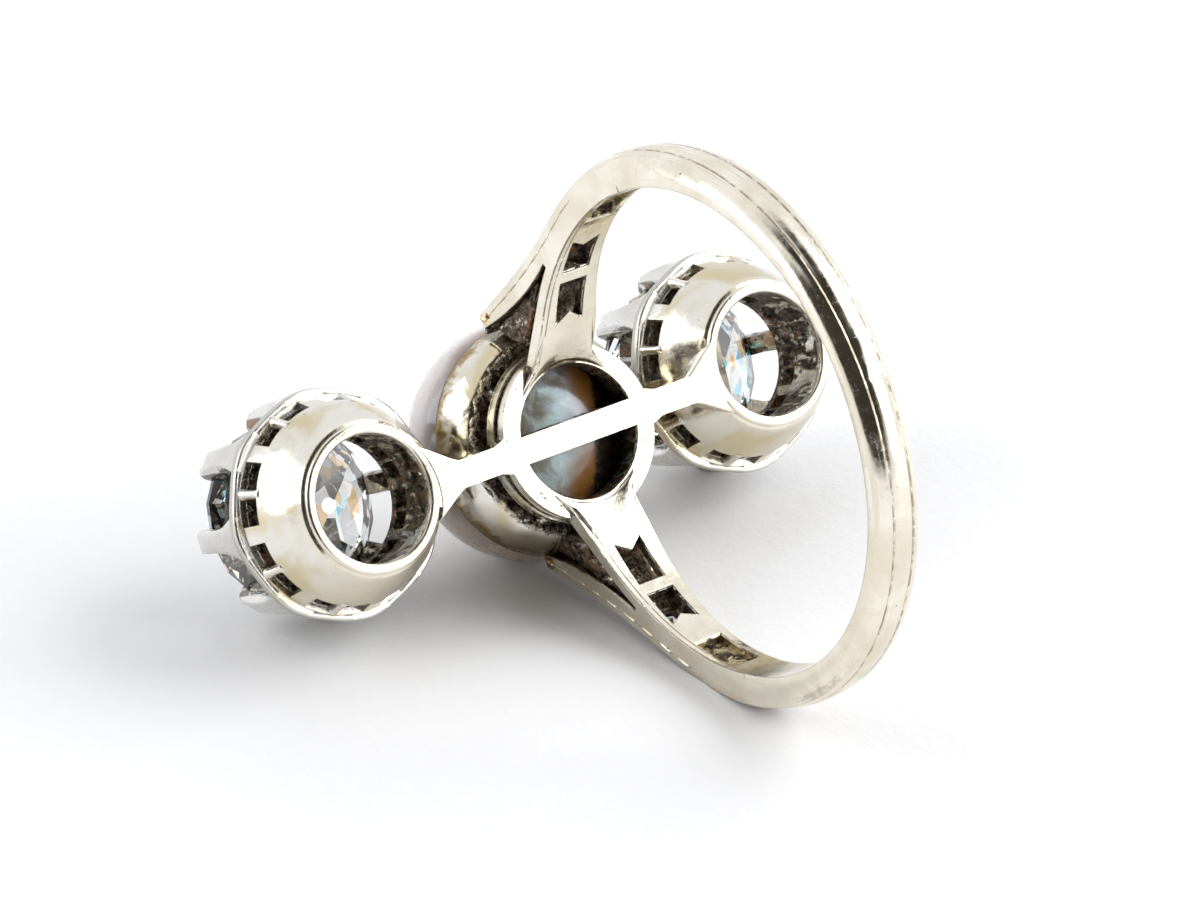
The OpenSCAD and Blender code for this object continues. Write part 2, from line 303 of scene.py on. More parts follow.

# %% [markdown]
# ### Head place
# Dirt on a ring isn't random: it sits under the stones and in the neck below the pearl, and its dark
# colour there is also painted shade.
# To paint by place, a material has to know where a point is in the ring's own terms.
# This group turns a point into the head's place, in millimetres, and tells how far it
# is from the pearl's axis and from the nearer collet's axis.

# %% Build the head place group
head_place, enter, leave = new_group(
    "head place", [("Point", "Vector", None)],
    [("Place", "Vector"), ("Height", "Float"), ("From pearl", "Float"),
     ("From collet", "Float"), ("Inside collet", "Float"), ("Round collet", "Vector")])
_, (place_x, place_y, height) = find_in(in_head, enter["Point"])
side_way = calc("SUBTRACT", calc("ABSOLUTE", place_y), collet_out)
cross_way = calc("SUBTRACT", place_x, collet_shift)
from_collet = flat_distance(cross_way, side_way)
# Low in a collet only its bore is inside. From the openings up, all but its skin is
skin = calc("MINIMUM",
            calc("ADD", ramp(height, 1.76, 1.84, 2.46, 3.44),
                 ramp(height, 1.8, 2.8, 0.0, 0.35, smooth=False)), 3.56)
inside = product(ramp(calc("SUBTRACT", skin, from_collet), 0.0, 0.07), ramp(height, 0.1, 0.3))
# The collet's wall is rolled out flat and squeezed, for marks that run from foot to rim
rolled = combine(product(calc("ARCTAN2", side_way, cross_way), 2.2), product(height, 0.5),
                 product(from_collet, 0.8))
put_all(leave, Place=combine(place_x, place_y, height), Height=height,
        From_pearl=flat_distance(place_x, place_y), From_collet=from_collet,
        Inside_collet=inside, Round_collet=rolled)

# %% [markdown]
# ### Hoop place
# The shoulders are hollow: a thin inner band is pierced with windows, and an outer rail
# carries the small stones. This second group tells how far a point is from the finger's
# axis, how many degrees round from the head, and how far in from the shoulder's side.

# %% Build the hoop place group
hoop_place, enter, leave = new_group(
    "hoop place", [("Point", "Vector", None)],
    [("From finger", "Float"), ("Turn", "Float"), ("Across", "Float"),
     ("In from side", "Float"), ("Outward", "Vector"), ("Strip", "Vector")])
from_axis, (hoop_x, across, hoop_z) = find_in(in_hoop, enter["Point"])
away = calc("ABSOLUTE", hoop_x)
half_width = calc("MAXIMUM", calc("MULTIPLY_ADD", away, -taper, width_at_head), width_at_back)
from_finger = flat_distance(hoop_x, hoop_z)
turned = product(calc("ARCTAN2", away, hoop_z), math.degrees(1))
# The strip is the hoop rolled out flat and squeezed, for streaks that run along it
strip = combine(product(turned, 0.03), product(across, 5.0), product(from_finger, 4.0))
outward = vector_calc("NORMALIZE", vector_calc("MULTIPLY", from_axis, (1, 0, 1)))
put_all(leave, From_finger=from_finger, Turn=turned, Across=across, Strip=strip,
        Outward=outward, In_from_side=calc("SUBTRACT", half_width, calc("ABSOLUTE", across)))

# %% [markdown]
# ### Fine scratches
# Polished metal that is worn gets thin straight scratches in all directions. A cloud
# texture squeezed hard along one direction gives streaks, and keeping only its
# highest values leaves separate lines. Three such layers at different turns look
# like years of wear, and cost far less than drawing lines.

# %% Build the fine scratches group
fine_scratches, enter, leave = new_group(
    "fine scratches", [("Place", "Vector", None), ("Amount", "Float", 0.5)],
    [("Lines", "Float"), ("Haze", "Float"), ("Pits", "Float")])
place = enter["Place"]
lines = 0.0
for turn, move in (((20, 15, 30), 0), ((-40, 50, -25), 7), ((70, -20, 80), 13)):
    streaks = cloud(stretch(place, (22, 0.9, 22), turn, (move, move, 0)), 1.0, 2.0, 0.5)
    patches = cloud(stretch(place, (1, 1, 1), turn), 1.1)
    lines = largest(product(ramp(streaks, 0.66, 0.74), ramp(patches, 0.45, 0.62)), lines)
# A cell texture gives one spot to each cell, and a few cells get a small pit there
from_spot, chance = cells(stretch(place, (1, 1.5, 1), (25, 0, 40)), 1.5)
put_all(leave, Lines=calc("MULTIPLY", lines, enter["Amount"], clamp=True),
        Haze=cloud(place, 1.7, 4.0, 0.6, 0.4),
        Pits=product(ramp(from_spot, 0.09, 0.04), ramp(chance[0], 0.3, 0.25)))

# %% [markdown]
# ### Grime and painted shade
# Where a polishing wheel can't reach, the metal stays rough from the casting and
# gathers brown dirt. The same dark colour is also painted shade: the Ambient Occlusion
# node gives how open a point is, and closed corners and recesses get it where shade falls.
# That value and the place masks come in, and this group breaks them up with clouds, so
# that the grime and painted shade have a ragged border, streaks and a few bright spots
# where metal shows through.

# %% Build the grime group
grime_and_shade, enter, leave = new_group(
    "grime_and_shade", [("Place", "Vector", None), ("Openness", "Float", 1.0), ("Inside", "Float", 0.0),
              ("Amount", "Float", 1.0)],
    [("Cover", "Float"), ("Colour", "Color"), ("Lumps", "Float")])
place = enter["Place"]
fine = cloud(place, 5.0, 5.0, 0.68, 0.6)
broad = cloud(place, 1.1, 3.0, 0.5, 0.6)
streaky = cloud(stretch(place, (3.4, 3.4, 0.7)), 1.0, 4.0, 0.6)
# Closed corners take the dark colour: dirt, and painted shade where less light reaches
hidden = ramp(calc("MULTIPLY_ADD", fine, 0.4, enter["Openness"]), 0.74, 0.42)
lit = calc("ADD", streaky, product(fine, 0.5))
inner = product(enter["Inside"], ramp(lit, 0.76, 0.84, 1.0, 0.12))
cover = calc("MULTIPLY", largest(hidden, inner), enter["Amount"], clamp=True)
brown = blend(ramp(fine, 0.4, 0.64), (0.020, 0.013, 0.008, 1), (0.24, 0.19, 0.14, 1))
rusty = blend(ramp(broad, 0.54, 0.66, 0.0, 0.6), brown, (0.33, 0.16, 0.06, 1))
put_all(leave, Cover=cover, Colour=rusty, Lumps=calc("ADD", fine, streaky))

# %% [markdown]
# ## White gold
# The mount is white gold: a warm grey metal, polished where a wheel reaches, with yellow
# showing where the parts were soldered. Metal has almost no colour of its own beyond
# its reflections, so the finish is mostly in the roughness and in tiny bumps. The Bevel
# node rounds the look of each edge, since no worn edge is sharp. The colour is built in
# layers: each has a mask that tells where it lies, and covers the layers before it. Some
# layers are painted shade: darker beige and yellow-brown on what faces down, and the
# grime's dark colour in recesses.

# %% Build the white gold materials


def new_finish(name):
    material = bpy.data.materials.new(name)
    material.use_nodes = True
    work_in(material.node_tree)
    shader = new_node("BsdfPrincipled")
    put(new_node("OutputMaterial").inputs["Surface"], shader.outputs[0])
    return material, shader.inputs, new_node("TexCoord").outputs["Object"]


def facing_down(start, full, amount=1.0):
    """How much the surface faces the floor."""
    normal = new_node("NewGeometry").outputs["Normal"]
    return ramp(vector_calc("DOT_PRODUCT", normal, (0, 0, 1)), start, full, 0.0, amount)


def where_dirty_and_shaded(head, hoop, openness):
    """The places that no wheel could polish, from 0 to 1. They hold dirt, and their dark colour is
    also painted shade.
    """
    ragged = cloud(head["Place"], 2.2, 4.0, 0.6)
    from_pearl = calc("MULTIPLY_ADD", ragged, 0.5, head["From pearl"])
    neck = product(ramp(from_pearl, 3.82, 3.66), band(head["Height"], 0.9, 0.98, 1.5, 2.0))
    below_pearl = product(ramp(head["From pearl"], 2.6, 2.45), ramp(head["Height"], 0.03, 0.2))
    fork = product(ramp(hoop["In from side"], 0.02, 0.1), ramp(hoop["From finger"], 8.56, 8.64),
                   band(hoop["Turn"], 17, 19, 56, 58), ramp(openness, 0.92, 0.7))
    return largest(head["Inside collet"], neck, below_pearl, fork)


def where_recessed(hoop):
    """The bottoms of the shallow recesses inside the shoulders."""
    return product(band(hoop["From finger"], 8.53, 8.6, 8.8, 8.85),
                   band(hoop["Turn"], 60, 61, 79, 80), ramp(hoop["In from side"], 0.1, 0.16))


def where_solder(head, near_axis, threshold):
    """Soft yellow patches on the bowls, where solder ran over the white gold."""
    clouds = cloud(head["Place"], 0.36, 4.0, 0.5, 0.5)
    return product(ramp(near_axis, 5.0, 3.8), band(head["Height"], 0.15, 0.6, 2.9, 3.4),
                   ramp(clouds, threshold - 0.05, threshold + 0.16, 0.04, 0.7))


def metal(name, clean, worn_and_shade, yellow, yellow_at, grime_and_shade_amount=1.0, rough=0.12, round_edge=0.06,
          always_dirty_and_shaded=0.0):
    material, shader, point = new_finish(name)
    head = use_group(head_place, Point=point)
    hoop = use_group(hoop_place, Point=point)
    place, height, from_pearl = head["Place"], head["Height"], head["From pearl"]
    from_finger, turned, across = hoop["From finger"], hoop["Turn"], hoop["Across"]
    marks = use_group(fine_scratches, Place=place, Amount=0.6)
    open_sky = new_node("AmbientOcclusion")
    open_sky.samples = 4
    open_sky.inputs["Distance"].default_value = 1.1 * MM
    openness = open_sky.outputs["AO"]
    recess = where_recessed(hoop)
    blotch = cloud(place, 1.9, 4.0, 0.6, 0.8)
    # What no wheel reaches gets the grime's dark colour: dirt, and painted shade in recesses and
    # bores
    inside = largest(where_dirty_and_shaded(head, hoop, openness),
                     product(recess, ramp(blotch, 0.5, 0.56)), always_dirty_and_shaded)
    # In the collets bright streaks of bare metal run from the foot to the rim; they are also painted
    # highlights, like glints off the gallery's ribs
    ribs = ramp(cloud(head["Round collet"], 1.0, 3.0, 0.6, 0.5), 0.53, 0.6, 1.0, 0.1)
    inside = product(inside, blend(head["Inside collet"], (1, 1, 1, 1), ribs))
    dirt_and_shade = use_group(grime_and_shade, Place=place, Openness=openness, Inside=inside, Amount=grime_and_shade_amount)
    # Two thin dark lines run along the inner face, close to the shoulder's front edge
    from_middle = calc("ABSOLUTE", calc("SUBTRACT", hoop["In from side"], 0.11))
    rim_line = product(near(from_middle, 0.1, 0.035, 0.012), ramp(across, -0.2, -0.3),
                       ramp(from_finger, 8.56, 8.53), ramp(turned, 84, 70),
                       ramp(blotch, 0.36, 0.46))
    # Worn gold is a darker beige in broad, soft clouds; what faces down gets the same darker beige as
    # painted shade
    down = facing_down(0.1, -0.8)
    film = ramp(cloud(place, 0.5, 5.0, 0.6, 0.3), 0.36, 0.66)
    drawn = product(ramp(cloud(hoop["Strip"], 1.0, 4.0, 0.6), 0.5, 0.7), ramp(turned, 45, 60))
    wear = calc("MULTIPLY_ADD", largest(film, drawn), 0.7, product(down, 0.3), clamp=True)
    speck = ramp(cloud(place, 9.0, 3.0, 0.7), 0.6, 0.72, 0.0, 0.35)
    # The scalloped rim below the claws was never polished bright
    rim = product(band(head["From collet"], 3.5, 3.7, 4.05, 4.15), band(height, 2.6, 2.66, 3.0, 3.1))
    # The bowls are more silvery, with yellow patches of solder; their undersides get a yellow-brown
    # painted shade
    near_axis = calc("MINIMUM", from_pearl, head["From collet"])
    bowls = product(ramp(near_axis, 4.6, 4.4), band(height, 0.2, 0.5, 2.6, 2.75))
    yellowed_and_shaded = largest(where_solder(head, near_axis, yellow_at), product(recess, 0.7),
                       product(bowls, down, 0.6))
    cup = product(band(from_pearl, 3.1, 3.3, 4.5, 4.7), ramp(height, 1.2, 1.5))
    tarnish = product(cup, ramp(calc("MULTIPLY_ADD", blotch, 1.5, height), 3.0, 3.5))
    # Small brown pits are left in the solder along the gallery plate's edge
    seam = product(near(from_pearl, 3.0, 0.45, 0.2), band(height, -0.5, -0.3, 0.1, 0.2),
                   ramp(cloud(place, 1.5, 6.0, 0.75), 0.6, 0.63))
    # The two grooves round the shank hold a thin brown line
    groove = product(near(calc("ABSOLUTE", across), 0.4, 0.07, 0.02), ramp(turned, 60, 75),
                     ramp(from_finger, 8.9, 9.1), ramp(blotch, 0.4, 0.55))
    colour = clean
    for mask, share, layer, how in (
            (wear, 1, worn_and_shade, "MIX"), (speck, 1, worn_and_shade, "MULTIPLY"),
            (rim, 0.7, (0.42, 0.40, 0.37, 1), "MIX"),
            (bowls, 0.85, (0.78, 0.77, 0.735, 1), "MIX"), (yellowed_and_shaded, 1, yellow, "MIX"),
            (tarnish, 1, (0.34, 0.23, 0.10, 1), "MIX"),
            # The cup's underside is darkened: painted shade
            (product(cup, down), 1, (0.42, 0.37, 0.30, 1), "MULTIPLY"),
            (seam, 0.85, (0.10, 0.07, 0.03, 1), "MIX"),
            (groove, 0.7, (0.24, 0.16, 0.08, 1), "MIX"),
            (rim_line, 0.75, (0.13, 0.09, 0.05, 1), "MIX"),
            (marks["Pits"], 0.7, (0.1, 0.08, 0.06, 1), "MIX"),
            (dirt_and_shade["Cover"], 1, dirt_and_shade["Colour"], "MIX")):
        colour = blend(product(mask, share), colour, layer, how)
    roughness = ramp(marks["Haze"], 0.3, 0.75, rough * 0.6, rough * 2.2)
    for mask, more in ((marks["Lines"], 0.35), (rim, 0.15), (dirt_and_shade["Cover"], 0.22)):
        roughness = calc("MULTIPLY_ADD", mask, more, roughness, clamp=True)
    bevel = new_node("Bevel")
    bevel.samples = 3
    bevel.inputs["Radius"].default_value = round_edge * MM
    edge = bevel.outputs[0]
    # The shank's sides are worn round towards the back, so their normals lean outwards
    on_side = ramp(calc("ABSOLUTE", vector_calc("DOT_PRODUCT", edge, (0, 1, 0))), 0.5, 0.75)
    lean = product(on_side, ramp(turned, 80, 115),
                   ramp(from_finger, 8.6, 9.35, 0.0, 1.3, smooth=False))
    # and the middle reed is worn round across its width
    on_reed = product(ramp(turned, 65, 85), ramp(from_finger, 9.1, 9.25),
                      ramp(calc("ABSOLUTE", across), 0.4, 0.37))
    sideways = combine(None, product(across, on_reed, 0.65))
    rounded = vector_calc("ADD", edge, vector_calc("MULTIPLY", hoop["Outward"], lean))
    rounded = vector_calc("NORMALIZE", vector_calc("ADD", rounded, sideways))
    relief = product(dirt_and_shade["Lumps"], calc("MULTIPLY_ADD", dirt_and_shade["Cover"], 3.4, 0.06))
    hammered = product(cup, cloud(place, 0.9, 1.0, 0.4))
    for mask, rise in ((marks["Lines"], -0.14), (marks["Pits"], -0.8), (rim_line, -0.8),
                       (seam, -1.5), (product(recess, blotch), 8.0), (marks["Haze"], 0.5),
                       (hammered, 9.0), (product(cup, blotch), 0.5)):
        relief = calc("MULTIPLY_ADD", mask, rise, relief)
    put_all(shader, Base_Color=colour, Roughness=roughness,
            Metallic=ramp(dirt_and_shade["Cover"], 0.5, 1.0, 1.0, 0.8),
            Normal=bump(relief, 1.0, 0.02 * MM, rounded))
    print("material:", name)
    return material


white_gold = metal("white gold, worn", (0.90, 0.85, 0.735, 1), (0.71, 0.645, 0.50, 1),
                   (0.60, 0.485, 0.235, 1), 0.50)
claw_gold = metal("white gold, claws", (0.80, 0.795, 0.77, 1), (0.60, 0.58, 0.53, 1),
                  (0.70, 0.58, 0.33, 1), 0.58, grime_and_shade_amount=0.8, rough=0.18, round_edge=0.03)
solder_gold = metal("yellow solder", (0.78, 0.64, 0.40, 1), (0.50, 0.33, 0.15, 1),
                    (0.72, 0.50, 0.20, 1), 0.4, grime_and_shade_amount=0.7, rough=0.16, round_edge=0.02)
# The rough casting is covered all over with the grime's dark colour: dirt, and painted shade
rough_cast = metal("white gold, rough casting", (0.6, 0.55, 0.45, 1), (0.4, 0.34, 0.25, 1),
                   (0.5, 0.36, 0.18, 1), 0.5, rough=0.2, round_edge=0.02, always_dirty_and_shaded=1.0)

# %% [markdown]
# ## Diamond
# A diamond is plain glass with a very high refractive index: what makes it sparkle is
# its flat facets, so the mesh keeps its hard edges. A trace of surface film dulls it
# here and there, as on old stones.

# %% Build the diamond material
diamond, shader, point = new_finish("diamond, old cut")
place = use_group(head_place, Point=point)["Place"]
film = cloud(place, 0.9, 3.0, 0.6)
# A cut stone splits white light. Here a few small cells of it get a pure colour each
_, chance = cells(place, 1.3)
clear = blend(ramp(film, 0.4, 0.7), (0.96, 0.97, 0.98, 1), (0.86, 0.89, 0.84, 1))
clear = blend(ramp(chance[0], 0.86, 0.88), clear, (0.12, 0.62, 0.95, 1))
clear = blend(ramp(chance[1], 0.9, 0.92), clear, (0.95, 0.48, 0.16, 1))
put_all(shader, Base_Color=clear, Roughness=ramp(film, 0.5, 0.8, 0.0, 0.03),
        Metallic=0.0, Transmission_Weight=1.0, IOR=2.42)
print("material:", diamond.name)

# %% [markdown]
# ## Pearl
# Nacre is many thin clear layers over a pale body. Light enters, scatters, and some
# comes back from the layers as faint pink, green and blue. Subsurface scattering
# gives the soft body, a clear coat the lustre, and the Principled shader's thin film
# the play of colour. The back of this pearl is glued in, with brown glue around it.

# %% Build the pearl material
nacre, shader, point = new_finish("nacre")
head = use_group(head_place, Point=point)
place, height = head["Place"], head["Height"]
drift = cloud(place, 0.55, 3.0, 0.5, 0.8)
ripple = cloud(stretch(place, (1.2, 1.2, 3.2)), 1.0, 4.0, 0.6, 0.5)
body = blend(ramp(drift, 0.35, 0.65), (0.70, 0.67, 0.61, 1), (0.64, 0.62, 0.58, 1))
body = blend(ramp(ripple, 0.5, 0.72), body, (0.66, 0.60, 0.50, 1))
# The pearl is darker where it meets the cup's rim and below it: painted shade
rim_shade = ramp(calc("MULTIPLY_ADD", drift, 0.9, height), 4.15, 3.3)
body = blend(rim_shade, body, (0.30, 0.24, 0.18, 1))
# and darker still on what faces down: painted shade
body = blend(facing_down(0.2, -0.7, 0.85), body, (0.34, 0.28, 0.20, 1))
# The flat back, seen through the plate's hole: a bluish painted sheen on one side, then a ring
# of old glue, and black dirt beyond it
side_way = vector_calc("DOT_PRODUCT", place, (-0.34, 0.94, 0.0))
side_way = calc("MULTIPLY_ADD", ripple, 0.9, side_way)
sheen = blend(ramp(ripple, 0.36, 0.62), (0.22, 0.18, 0.145, 1), (0.43, 0.49, 0.51, 1))
glue = blend(ramp(side_way, 0.2, 1.1), sheen, (0.27, 0.12, 0.025, 1))
glue = blend(ramp(side_way, 1.55, 1.85), glue, (0.022, 0.014, 0.008, 1))
body = blend(ramp(height, 2.3, 1.9), body, glue)
put_all(shader, Base_Color=body, Roughness=ramp(ripple, 0.3, 0.7, 0.14, 0.32),
        Subsurface_Weight=0.2, Subsurface_Radius=(1.0, 0.8, 0.7), Subsurface_Scale=0.6 * MM,
        Coat_Weight=0.6, Coat_Roughness=0.06, Thin_Film_Thickness=400, Thin_Film_IOR=1.6,
        Normal=bump(ripple, 0.6, 0.02 * MM))
print("material:", nacre.name)

# %% [markdown]
# ## Finish on the CAD pieces
# The stones stay as the CAD made them: their facets are already flat and true. The
# mount's curved faces come as many small triangles. Shading them smooth would also
# smear its real edges, so a small geometry-nodes modifier drops the stored normals, marks
# each edge sharper than 28 degrees as hard and leaves the rest smooth. The mesh itself
# isn't touched.

# %% Smooth the mount by angle and put the finishes on


def soften(name, degrees):
    group = bpy.data.node_groups.new(name, "GeometryNodeTree")
    for way in ("INPUT", "OUTPUT"):
        group.interface.new_socket("Mesh", in_out=way, socket_type="NodeSocketGeometry")
    work_in(group)
    add = tree.nodes.new
    forget = add("GeometryNodeRemoveAttribute")
    forget.inputs["Name"].default_value = "custom_normal"
    hard = add("GeometryNodeSetShadeSmooth")
    hard.domain = "EDGE"
    hard.inputs["Shade Smooth"].default_value = False
    angle = add("GeometryNodeInputMeshEdgeAngle").outputs[0]
    put(hard.inputs["Selection"], calc("GREATER_THAN", angle, math.radians(degrees)))
    chain = (add("NodeGroupInput"), forget, add("GeometryNodeSetShadeSmooth"), hard,
             add("NodeGroupOutput"))
    for before, after in zip(chain, chain[1:]):
        put(after.inputs[0], before.outputs[0])
    return group


mount = nodes["mount"]
weld = mount.modifiers.new("join corners", "WELD")
weld.merge_threshold = 1e-7
smoothing = mount.modifiers.new("smooth by angle", "NODES")
smoothing.node_group = soften("smooth by angle", 28)
mount.data.materials[0] = white_gold
for name, node in nodes.items():
    if "diamond" in name:
        node.data.materials[0] = diamond
print("finished CAD pieces:", sorted(nodes)[:3], "and", len(nodes) - 3, "more")

# %% [markdown]
# ## A helper for new pieces
# Every new piece is a form, a list of points and one of faces, in millimetres and in one
# of the places above. The helper turns it into a mesh in metres, shades it smooth, gives
# it its finish, and ties it to the CAD body that it rides on.

# %% Turn a form into a piece


def make_piece(name, place, form, finish):
    points, faces = form
    mesh = bpy.data.meshes.new(name)
    mesh.from_pydata([to_metres @ place @ Vector(p) for p in points], [], faces)
    mesh.validate()
    shell = bmesh.new()
    shell.from_mesh(mesh)
    bmesh.ops.recalc_face_normals(shell, faces=shell.faces)
    shell.to_mesh(mesh)
    shell.free()
    mesh.shade_smooth()
    mesh.materials.append(finish)
    piece = add_object(name, mesh)
    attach(piece, "root")
    print(f"{name}: {len(mesh.polygons)} faces")
    return piece


# %% [markdown]
# ## Three ways to make a form
# Most jewel parts are one of three things: a turned form, a bar whose section changes
# along it, or a small ball of metal. The first two are rings of points joined by faces.
# The ball is a turned form too, made uneven with smooth noise, as solder and worn beads
# never keep a true shape.

# %% Join rings, loft a bar, make a ball and gather many parts


def circle(around, start=0.0):
    """So many angles, evenly spread round a circle."""
    return [2 * math.pi * (k + start) / around for k in range(around)]


def squared(value, power):
    """Makes a circle's cosine or sine into that of a square with round corners."""
    return math.copysign(abs(value) ** power, value)


def on_globe(turn, up):
    return Vector((math.cos(up) * math.cos(turn), math.cos(up) * math.sin(turn), math.sin(up)))


def join_rings(rings, around):
    faces = []
    for ring in range(rings - 1):
        for k in range(around):
            a, b = ring * around + k, ring * around + (k + 1) % around
            faces.append((a, b, b + around, a + around))
    return faces


def loft(sections):
    """A closed solid through rings of points that all have the same length."""
    around = len(sections[0])
    points = [point for section in sections for point in section]
    faces = join_rings(len(sections), around)
    faces.append(tuple(range(around)))
    faces.append(tuple(range(len(points) - around, len(points))))
    return points, faces


def ball(middle, radius, uneven=0.0, rings=7, around=12):
    """A ball with a lumpy surface."""
    sections = []
    for ring in range(rings):
        up = math.pi * (0.03 + 0.94 * ring / (rings - 1)) - math.pi / 2
        section = []
        for turn in circle(around):
            # The noise is read on the far side, which is as good as the near side
            swell = 1 + uneven * noise.noise(on_globe(turn, up) * 1.3 + 7 * Vector(middle))
            section.append(Vector(middle) + on_globe(turn + math.pi, up) * radius * swell)
        sections.append(section)
    return loft(sections)


def gather(parts):
    points, faces = [], []
    for part_points, part_faces in parts:
        first = len(points)
        points += part_points
        faces += [tuple(first + i for i in face) for face in part_faces]
    return points, faces


print("a ball has", len(ball((0, 0, 0), 1)[1]), "faces")

# %% [markdown]
# ## The pearl, as it grew
# A pearl is never a perfect ball. This one is a bouton: round seen from above, flat at
# the back. We spin rings of points from back to front, and push each point in or
# out a little with smooth noise. The CAD pearl stays for collisions, and hides.

# %% Make the pearl
pearl_radius, pearl_middle, pearl_dome, pearl_back = 4.3, 3.7, 3.7, 2.9


def grown_pearl(steps=64, around=128):
    sections = []
    for step in range(steps + 1):
        up = math.radians(-90 + 180 * (0.005 + 0.99 * step / steps))
        deep = pearl_dome if up > 0 else pearl_back
        section = []
        for turn in circle(around):
            out = on_globe(turn, up)
            swell = 1 + 0.004 * noise.noise(out * 1.6) + 0.0012 * noise.noise(out * 6) - 0.004
            section.append((pearl_radius * out.x * swell, pearl_radius * out.y * swell,
                            pearl_middle + deep * out.z * swell))
        sections.append(section)
    return loft(sections)


pearl = make_piece("bouton_pearl", in_head, grown_pearl(), nacre)
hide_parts("pearl")

# %% [markdown]
# ## Claws
# Each main stone is held by eight claws. They start as flat tongues cut from the rim,
# get narrower, and are pushed over the stone's edge, and wear rounds their tips. The
# CAD claws have the right place and size but square edges. A rounded claw is lofted
# over each: its line is a list of places from the rim to the tip, each with half a
# thickness and half a width. One level of subdivision makes it flow.

# %% Make the claws
claw_line = [(3.725, 2.64, 0.25, 0.80), (3.725, 3.0, 0.26, 0.79), (3.71, 3.45, 0.27, 0.64),
             (3.69, 3.9, 0.28, 0.48), (3.66, 4.5, 0.31, 0.42), (3.60, 5.1, 0.32, 0.385),
             (3.54, 5.6, 0.31, 0.395), (3.49, 6.0, 0.27, 0.405), (3.35, 6.34, 0.26, 0.39),
             (3.12, 6.5, 0.21, 0.36), (2.93, 6.53, 0.14, 0.27), (2.84, 6.52, 0.07, 0.14)]
claw_corner = 0.42


def claw(seed, around=20):
    sections = []
    for i, (out, up, thick, wide) in enumerate(claw_line):
        before, after = claw_line[max(i - 1, 0)], claw_line[min(i + 1, len(claw_line) - 1)]
        along = Vector((after[0] - before[0], 0, after[1] - before[1])).normalized()
        outward = Vector((along.z, 0, -along.x))
        wide *= 1 + 0.05 * noise.noise(Vector((seed, i * 0.4, 0)))
        lean = 0.05 * noise.noise(Vector((seed, 9, i * 0.25))) * i / 6
        sections.append([Vector((out, squared(math.sin(a), claw_corner) * wide + lean, up)) +
                         outward * squared(math.cos(a), claw_corner) * thick
                         for a in circle(around, 0.5)])
    return loft(sections)


for side, name in ((-1, "front_claws"), (1, "back_claws")):
    parts = []
    for k in range(8):
        points, faces = claw(k * 3.7 + side)
        turn = Matrix.Rotation(math.radians(45 * k), 4, "Z")
        parts.append(([turn @ point for point in points], faces))
    claws = make_piece(name, collets[side], gather(parts), claw_gold)
    claws.modifiers.new("flow", "SUBSURF").render_levels = 1

# %% [markdown]
# ## Places on the shoulders
# The small stones stand in a row on the outer rail, from the head to the hoop, and the
# rail's edge has a row of worn beads. Both follow one line, so a function walks along
# it: it gives the spot after so many millimetres, and which way is outward there.

# %% Walk along a rail
# Pairs of signs, for the two shoulders with two edges each and for the corners of a stone
corners = [(a, b) for a in (-1, 1) for b in (-1, 1)]


def bend(a, b, c, count):
    """Points on a bend that leaves a towards b and comes to c from b."""
    return [(1 - t) ** 2 * a + 2 * t * (1 - t) * b + t * t * c
            for t in (i / count for i in range(count + 1))]


rail_turn = math.radians(53)
rail_start = Vector((4.65, 11.3))
rail_foot = Vector((edge_radius * math.sin(rail_turn), edge_radius * math.cos(rail_turn)))
rail_bend = rail_foot + 2.6 * Vector((-math.cos(rail_turn), math.sin(rail_turn)))
rail = bend(rail_start, rail_bend, rail_foot, 12)
rail_length = sum((b - a).length for a, b in zip(rail, rail[1:]))


def walk(way):
    """The spot and the outward direction on a shoulder's outer face, as (x, z) pairs."""
    for a, b in zip(rail, rail[1:]):
        step = (b - a).length
        if way <= step:
            heading = (b - a) / step
            return a + (b - a) * way / step, Vector((-heading.y, heading.x))
        way -= step
    angle = rail_turn + way / edge_radius
    outward = Vector((math.sin(angle), math.cos(angle)))
    return edge_radius * outward, outward


stone_gap = 0.16
small_stones = [(0.5, rail_length + 0.58)]
for radius in (0.575, 0.65, 0.725, 0.775):
    before_radius, before_way = small_stones[-1]
    small_stones.append((radius, before_way - before_radius - radius - stone_gap))
print("rail:", round(rail_length, 2), "mm, stones at",
      [round(way, 2) for _, way in small_stones])

# %% [markdown]
# ### Beaded edges and grains
# A beaded edge is rolled into the metal with a small wheel. Wear flattens it, and some
# beads are gone. Each small stone is also held by grains: little balls raised from the
# metal with a graver and pushed over its edge, four round each stone.

# %% Make the beaded edges and the grains
bead_radius, bead_step, bead_inset = 0.105, 0.235, 0.1
grain_radius = 0.135
beads, grains = [], []
for mirror, edge in corners:
    way = 0.25
    while way < rail_length + 3.6:
        spot, outward = walk(way)
        wear = noise.noise(Vector((way * 1.7, mirror * 3, edge * 5)))
        if wear > -0.3:
            at = spot - outward * (0.06 - 0.02 * wear)
            beads.append(ball((mirror * at.x, edge * (half_width_at(at.x) - bead_inset), at.y),
                              bead_radius + 0.01 * wear, 0.15, rings=5, around=8))
        way += bead_step
for mirror in (-1, 1):
    for radius, way in small_stones:
        for along, across in corners:
            spot, outward = walk(way + along * 0.66 * (radius + 0.07))
            at = spot - 0.05 * outward
            grains.append(ball((mirror * at.x, across * 0.76 * (radius + 0.05), at.y),
                               grain_radius, 0.2, rings=6, around=10))
make_piece("beaded_edges", in_hoop, gather(beads), white_gold)
make_piece("stone_grains", in_hoop, gather(grains), claw_gold)

# %% [markdown]
# ### A raised line along the rail
# The side of each rail has a fine raised line below its beaded edge. It is a thin wire
# with a gap here and there where it has worn away, lofted piece by piece.

# %% Make the raised lines
line_depth, line_gap = 0.27, 0.07


